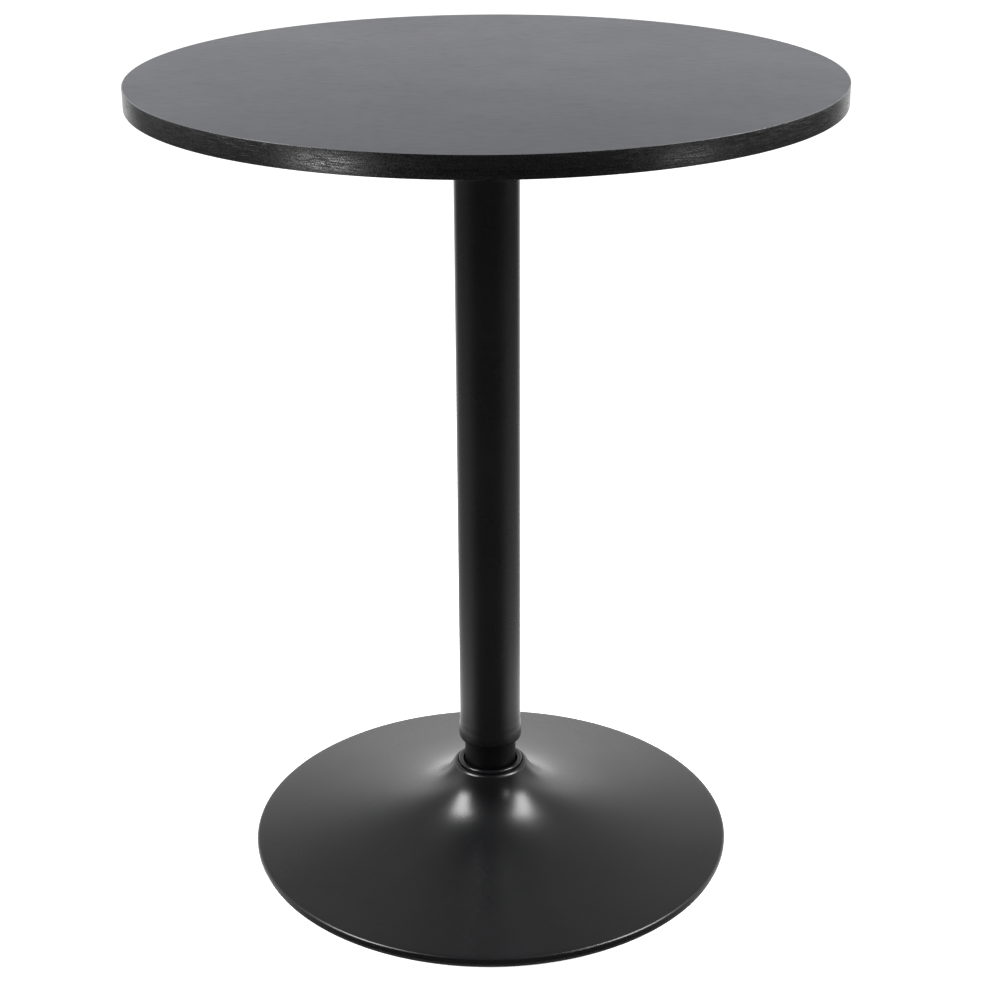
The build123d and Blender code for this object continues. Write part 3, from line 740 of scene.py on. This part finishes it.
# Straight wood grain: long pale and dark streaks, and short pores pressed into the surface.
wood_grain, given, result = start_group(
    "wood_grain", {"Position": None, "Waver": 0.004}, ["Streaks", "Pores", "Clouds"]
)
waver = put(wood_grain, "TexNoise", Vector=given["Position"], Scale=5.0, Detail=2.0)
shift = put(
    wood_grain, "VectorMath", {"operation": "SUBTRACT"},
    i0=waver.outputs["Color"], i1=(0.5, 0.5, 0.5),
).outputs[0]
shift = put(
    wood_grain, "VectorMath", {"operation": "SCALE"}, i0=shift, Scale=given["Waver"]
).outputs[0]
along = put(
    wood_grain, "VectorMath", {"operation": "ADD"}, i0=given["Position"], i1=shift
).outputs[0]
long_cells = put(wood_grain, "Mapping", Vector=along, Scale=(3.0, 130.0, 130.0)).outputs[0]
streaks = put(
    wood_grain, "TexNoise", Vector=long_cells, Scale=1.0, Detail=6.0, Roughness=0.62
)
short_cells = put(wood_grain, "Mapping", Vector=along, Scale=(70.0, 1500.0, 1500.0)).outputs[0]
pores = put(wood_grain, "TexNoise", Vector=short_cells, Scale=1.0, Detail=3.0)
clouds = put(wood_grain, "TexNoise", Vector=given["Position"], Scale=9.0, Detail=6.0)
wood_grain.links.new(streaks.outputs["Fac"], result["Streaks"])
wood_grain.links.new(remap(wood_grain, pores.outputs["Fac"], 0.5, 0.68, 0.0, 1.0), result["Pores"])
wood_grain.links.new(clouds.outputs["Fac"], result["Clouds"])

laminate, tree, shader, place = start_material("wood_grain_laminate")
grain_depth = 0.02 * MM
figure = use_group(tree, wood_grain, Position=place, Waver=0.006)
tone = remap(tree, figure["Streaks"], 0.34, 0.68, 0.0, 1.0)
colour = mix_colour(tree, tone, (0.020, 0.0215, 0.028), (0.0265, 0.028, 0.036))
pores = calculate(tree, "MULTIPLY", figure["Pores"], 0.5)
colour = mix_colour(tree, pores, colour, (0.006, 0.006, 0.007))
film = use_group(tree, settled_dust, Position=place, Amount=0.008)["Dust"]
colour = mix_colour(tree, film, colour, (0.4, 0.4, 0.42))
tree.links.new(colour, shader.inputs["Base Color"])
gloss = remap(tree, figure["Clouds"], 0.3, 0.7, 0.465, 0.495)
gloss = calculate(tree, "ADD", gloss, calculate(tree, "MULTIPLY", figure["Pores"], 0.08))
gloss = calculate(tree, "ADD", gloss, remap(tree, figure["Streaks"], 0.3, 0.7, -0.01, 0.01))
tree.links.new(gloss, shader.inputs["Roughness"])
relief = calculate(tree, "SUBTRACT", figure["Streaks"], figure["Pores"])
raise_surface(tree, shader, relief, grain_depth)

edge_steps = 360
face_low, face_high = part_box("top_laminate")
face_section = section([
    (0, face_low.z), (face_high.x, face_low.z),
    (face_high.x, face_high.z, 0.12 * MM), (0, face_high.z),
])
turn_round(face_section, steps=edge_steps)
make_piece("top_face", face_section, laminate, "top", "wood_grain_laminate", "top_laminate")

# The band's grain runs round the edge: the angle from the front, times the radius, is its length.
band_low, band_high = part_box("edge_band")
banding, tree, shader, place = start_material("edge_banding")
grain_depth = 0.05 * MM
spot = put(tree, "SeparateXYZ", Vector=place)
away = calculate(tree, "MULTIPLY", spot.outputs["Y"], -1.0)
angle = calculate(tree, "ARCTAN2", spot.outputs["X"], away)
length = calculate(tree, "MULTIPLY", angle, band_high.x)
strip = put(tree, "CombineXYZ", X=length, Y=spot.outputs["Z"], Z=0.0).outputs[0]
figure = use_group(tree, wood_grain, Position=strip, Waver=0.002)
sparkle = use_group(tree, moulded_texture, Position=place, Grain_Scale=1100.0)
tone = remap(tree, figure["Streaks"], 0.34, 0.68, 0.0, 1.0)
colour = mix_colour(tree, tone, (0.0022, 0.0022, 0.0026), (0.0055, 0.0055, 0.0062))
pores = calculate(tree, "MULTIPLY", figure["Pores"], 0.4)
colour = mix_colour(tree, pores, colour, (0.002, 0.002, 0.002))
# A butt joint closes the band at the rear.
half_joint = 0.25 * MM
from_front = calculate(tree, "ABSOLUTE", length)
joint = calculate(tree, "GREATER_THAN", from_front, pi * band_high.x - half_joint)
colour = mix_colour(tree, joint, colour, (0.001, 0.001, 0.001))
tree.links.new(colour, shader.inputs["Base Color"])
gloss = remap(tree, sparkle["Grain"], 0.35, 0.65, 0.20, 0.36)
gloss = calculate(tree, "ADD", gloss, calculate(tree, "MULTIPLY", figure["Pores"], 0.1))
tree.links.new(gloss, shader.inputs["Roughness"])
relief = calculate(tree, "MULTIPLY_ADD", sparkle["Grain"], 0.6, figure["Streaks"])
relief = calculate(tree, "SUBTRACT", relief, figure["Pores"])
relief = calculate(tree, "SUBTRACT", relief, calculate(tree, "MULTIPLY", joint, 4.0))
raise_surface(tree, shader, relief, grain_depth)

band_inside = band_high.x - 1 * MM
band_section = section([
    (band_inside, band_low.z, 0.1 * MM),
    (band_high.x, band_low.z, 0.4 * MM),
    (band_high.x, band_high.z, 0.35 * MM),
    (band_inside, band_high.z, 0.15 * MM),
])
turn_round(band_section, steps=edge_steps)
make_piece("band_strip", band_section, banding, "top", "edge_banding", "edge_band")

backing, tree, shader, place = start_material("backing_laminate")
texture = use_group(tree, moulded_texture, Position=place, Grain_Scale=900.0)
colour = mix_colour(tree, texture["Patches"], (0.014, 0.014, 0.0145), (0.020, 0.020, 0.0207))
tree.links.new(colour, shader.inputs["Base Color"])
tree.links.new(remap(tree, texture["Patches"], 0.3, 0.7, 0.5, 0.62), shader.inputs["Roughness"])
raise_surface(tree, shader, texture["Grain"], 0.06 * MM)
coat_node(backing, "underside_laminate")

board, tree, shader, place = start_material("fibre_board")
flakes = put(tree, "TexVoronoi", Vector=place, Scale=420.0)
fibres = put(tree, "TexNoise", Vector=place, Scale=900.0, Detail=5.0).outputs["Fac"]
pale = remap(tree, flakes.outputs["Distance"], 0.0, 0.8, 0.0, 1.0)
colour = mix_colour(tree, pale, (0.46, 0.33, 0.20), (0.28, 0.19, 0.11))
tree.links.new(colour, shader.inputs["Base Color"])
tree.links.new(remap(tree, fibres, 0.3, 0.7, 0.75, 0.92), shader.inputs["Roughness"])
raise_surface(tree, shader, fibres, 0.15 * MM)
coat_node(board, "table_top_core")


# ---------------------------------------------------------------------------------------------
# Studio. A white surround, bright behind the table and dark on the camera's side, with a soft
# light at each side and one at the front. Two small lamps are kept on the edge band alone. The
# pale floor has one side: from below it is clear.
# ---------------------------------------------------------------------------------------------


def aim(azimuth, elevation):
    """A direction from the table: azimuth from the camera's side towards +X, in degrees."""
    turned, raised = radians(azimuth), radians(elevation)
    return Vector((sin(turned) * cos(raised), -cos(turned) * cos(raised), sin(raised)))


def light_ramp(tree, value, marks):
    """A light level against a value, in straight runs between marks of value and level."""
    low, high = marks[0][0], marks[-1][0]
    top_level = max(level for _, level in marks)
    place_on_ramp = calculate(tree, "MULTIPLY_ADD", value, 1 / (high - low), -low / (high - low))
    ramp = put(tree, "ValToRGB", Fac=place_on_ramp)
    stops = ramp.color_ramp.elements
    for mark, _ in marks[1:-1]:
        stops.new((mark - low) / (high - low))
    for stop, (_, level) in zip(stops, marks):
        stop.color = (level / top_level, level / top_level, level / top_level, 1)
    return calculate(tree, "MULTIPLY", ramp.outputs["Color"], top_level)


world = bpy.data.worlds.new("studio")
bpy.context.scene.world = world
world.use_nodes = True
tree = world.node_tree
sky = tree.nodes["Background"]
ray = tree.nodes.new("ShaderNodeTexCoord").outputs["Generated"]
toward = put(tree, "SeparateXYZ", Vector=ray)
rear = light_ramp(tree, toward.outputs["Z"], (
    (-1.0, 0.3), (-0.03, 0.8), (0.07, 1.1), (0.15, 1.35), (0.28, 1.55), (0.42, 0.85),
    (0.54, 0.48), (0.70, 0.42), (1.0, 0.42),
))
front = remap(tree, toward.outputs["Y"], -0.6, 0.2, 0.10, 1.0)
seen = tree.nodes.new("ShaderNodeLightPath").outputs["Is Camera Ray"]
paper_white = 0.985
white = calculate(tree, "MULTIPLY", seen, paper_white)
unseen = calculate(tree, "SUBTRACT", 1.0, seen)
rest = calculate(tree, "MULTIPLY", calculate(tree, "MULTIPLY", rear, front), unseen)
tree.links.new(calculate(tree, "ADD", white, rest), sky.inputs["Strength"])
sky.inputs["Color"].default_value = (1, 1, 1, 1)

# The floor is evenly white to the eye. In the table's gloss it is a painted pool of light: an
# emission seen only by glossy rays, bright round the base and falling off with distance, and
# towards the camera, as a sheet of paper under studio lamps does.
floor_radius = 14
floor_mesh = bmesh.new()
bmesh.ops.create_circle(floor_mesh, cap_ends=True, segments=96, radius=floor_radius)
floor_data = bpy.data.meshes.new("studio_floor")
floor_mesh.to_mesh(floor_data)
floor_mesh.free()
floor = bpy.data.objects.new("studio_floor", floor_data)
bpy.context.scene.collection.objects.link(floor)
floor_paint, tree, shader, place = start_material("studio_floor_paint")
shade = put(tree, "TexNoise", Vector=place, Scale=3.0, Detail=3.0).outputs["Fac"]
colour = mix_colour(tree, shade, (0.90, 0.90, 0.90), (0.93, 0.93, 0.93))
tree.links.new(colour, shader.inputs["Base Color"])
shader.inputs["Roughness"].default_value = 0.9
shader.inputs["Specular IOR Level"].default_value = 0.0
shader.inputs["Emission Color"].default_value = (1, 1, 1, 1)
shader.inputs["Emission Strength"].default_value = 0.70
reach = put(tree, "VectorMath", {"operation": "LENGTH"}, i0=place).outputs["Value"]
glow = light_ramp(tree, reach, (
    (0.0, 1.2), (0.3, 1.2), (0.42, 0.7), (0.6, 0.45), (0.9, 0.40), (1.3, 0.30), (2.0, 0.18),
    (3.0, 0.13), (floor_radius, 0.2),
))
behind = light_ramp(tree, reach, (
    (0.0, 1.3), (0.45, 1.3), (0.7, 2.2), (1.4, 4.4), (3.0, 11.0), (floor_radius, 9.0),
))
depth = calculate(tree, "DIVIDE", put(tree, "SeparateXYZ", Vector=place).outputs["Y"], reach)
glow = calculate(tree, "MULTIPLY", glow, remap(tree, depth, -0.9, -0.1, 0.10, 1.0))
lift = calculate(tree, "SUBTRACT", behind, 1.0)
lift = calculate(tree, "MULTIPLY", remap(tree, depth, 0.66, 0.95, 0.0, 1.0), lift)
glow = calculate(tree, "MULTIPLY", glow, calculate(tree, "ADD", lift, 1.0))
straight_behind = 2.3
sweep = calculate(tree, "SUBTRACT", straight_behind, glow)
sweep = calculate(tree, "MULTIPLY", sweep, remap(tree, depth, 0.94, 0.985, 0.0, 1.0))
glow = calculate(tree, "ADD", glow, sweep)
# Painted reflected light: this emission is the floor's lit look, seen only in reflections, and it
# is not light from the lamps.
painted_paper_glow = put(tree, "Emission", Strength=glow)
glossy = tree.nodes.new("ShaderNodeLightPath").outputs["Is Glossy Ray"]
blend = put(tree, "MixShader", i0=glossy, i1=shader.outputs[0], i2=painted_paper_glow.outputs[0])
below = put(tree, "NewGeometry").outputs["Backfacing"]
clear = tree.nodes.new("ShaderNodeBsdfTransparent").outputs[0]
one_sided = put(tree, "MixShader", i0=below, i1=blend.outputs[0], i2=clear)
tree.links.new(one_sided.outputs[0], tree.nodes["Material Output"].inputs["Surface"])
floor_data.materials.append(floor_paint)


def soft_light(
    name, azimuth, elevation, distance, width, height, power, aim_height=0.3, lean=0, only=None
):
    """An area light that faces the table, isn't seen itself, and may be kept on one collection."""
    lamp = bpy.data.lights.new(name, "AREA")
    lamp.shape = "RECTANGLE"
    lamp.size = width
    lamp.size_y = height
    lamp.energy = power
    holder = bpy.data.objects.new(name, lamp)
    bpy.context.scene.collection.objects.link(holder)
    holder.location = aim(azimuth, elevation) * distance
    facing = Vector((0, 0, aim_height)) - holder.location
    leaning = Quaternion((0, 0, 1), radians(lean))
    holder.rotation_euler = (facing.to_track_quat("-Z", "Y") @ leaning).to_euler()
    holder.visible_camera = False
    holder.light_linking.receiver_collection = only


soft_light(
    "softbox_left", azimuth=-78, elevation=51, distance=2.4, width=0.8, height=1.4, power=60,
    lean=24,
)
soft_light(
    "softbox_right", azimuth=86, elevation=51, distance=2.4, width=0.8, height=1.4, power=60,
    lean=-24,
)
soft_light(
    "softbox_front", azimuth=44, elevation=39, distance=2.2, width=0.35, height=0.3, power=2.4
)
band_only = bpy.data.collections.new("band_lit")
band_only.objects.link(bpy.data.objects["band_strip"])
band_level = 0.7
soft_light(
    "strip_left", azimuth=-47, elevation=2, distance=2.6, width=0.75, height=0.34, power=14.0,
    aim_height=band_level, only=band_only,
)
soft_light(
    "strip_right", azimuth=60, elevation=2, distance=2.6, width=0.60, height=0.34, power=3.4,
    aim_height=band_level, only=band_only,
)

# The camera stands in front of the table and looks down on its top.
camera_place = (0, -1.6871, 1.0513)
camera = bpy.data.cameras.new("camera")
camera.sensor_width = 36
camera.lens = 74.09
camera.shift_x = 0.0018
camera_holder = bpy.data.objects.new("camera", camera)
bpy.context.scene.collection.objects.link(camera_holder)
downward = radians(22.40)
roll = -0.0064
camera_holder.matrix_world = (
    Matrix.Translation(camera_place)
    @ Matrix.Rotation(pi / 2 - downward, 4, "X")
    @ Matrix.Rotation(roll, 4, "Z")
)
bpy.context.scene.camera = camera_holder
bpy.context.scene.view_settings.view_transform = "Standard"
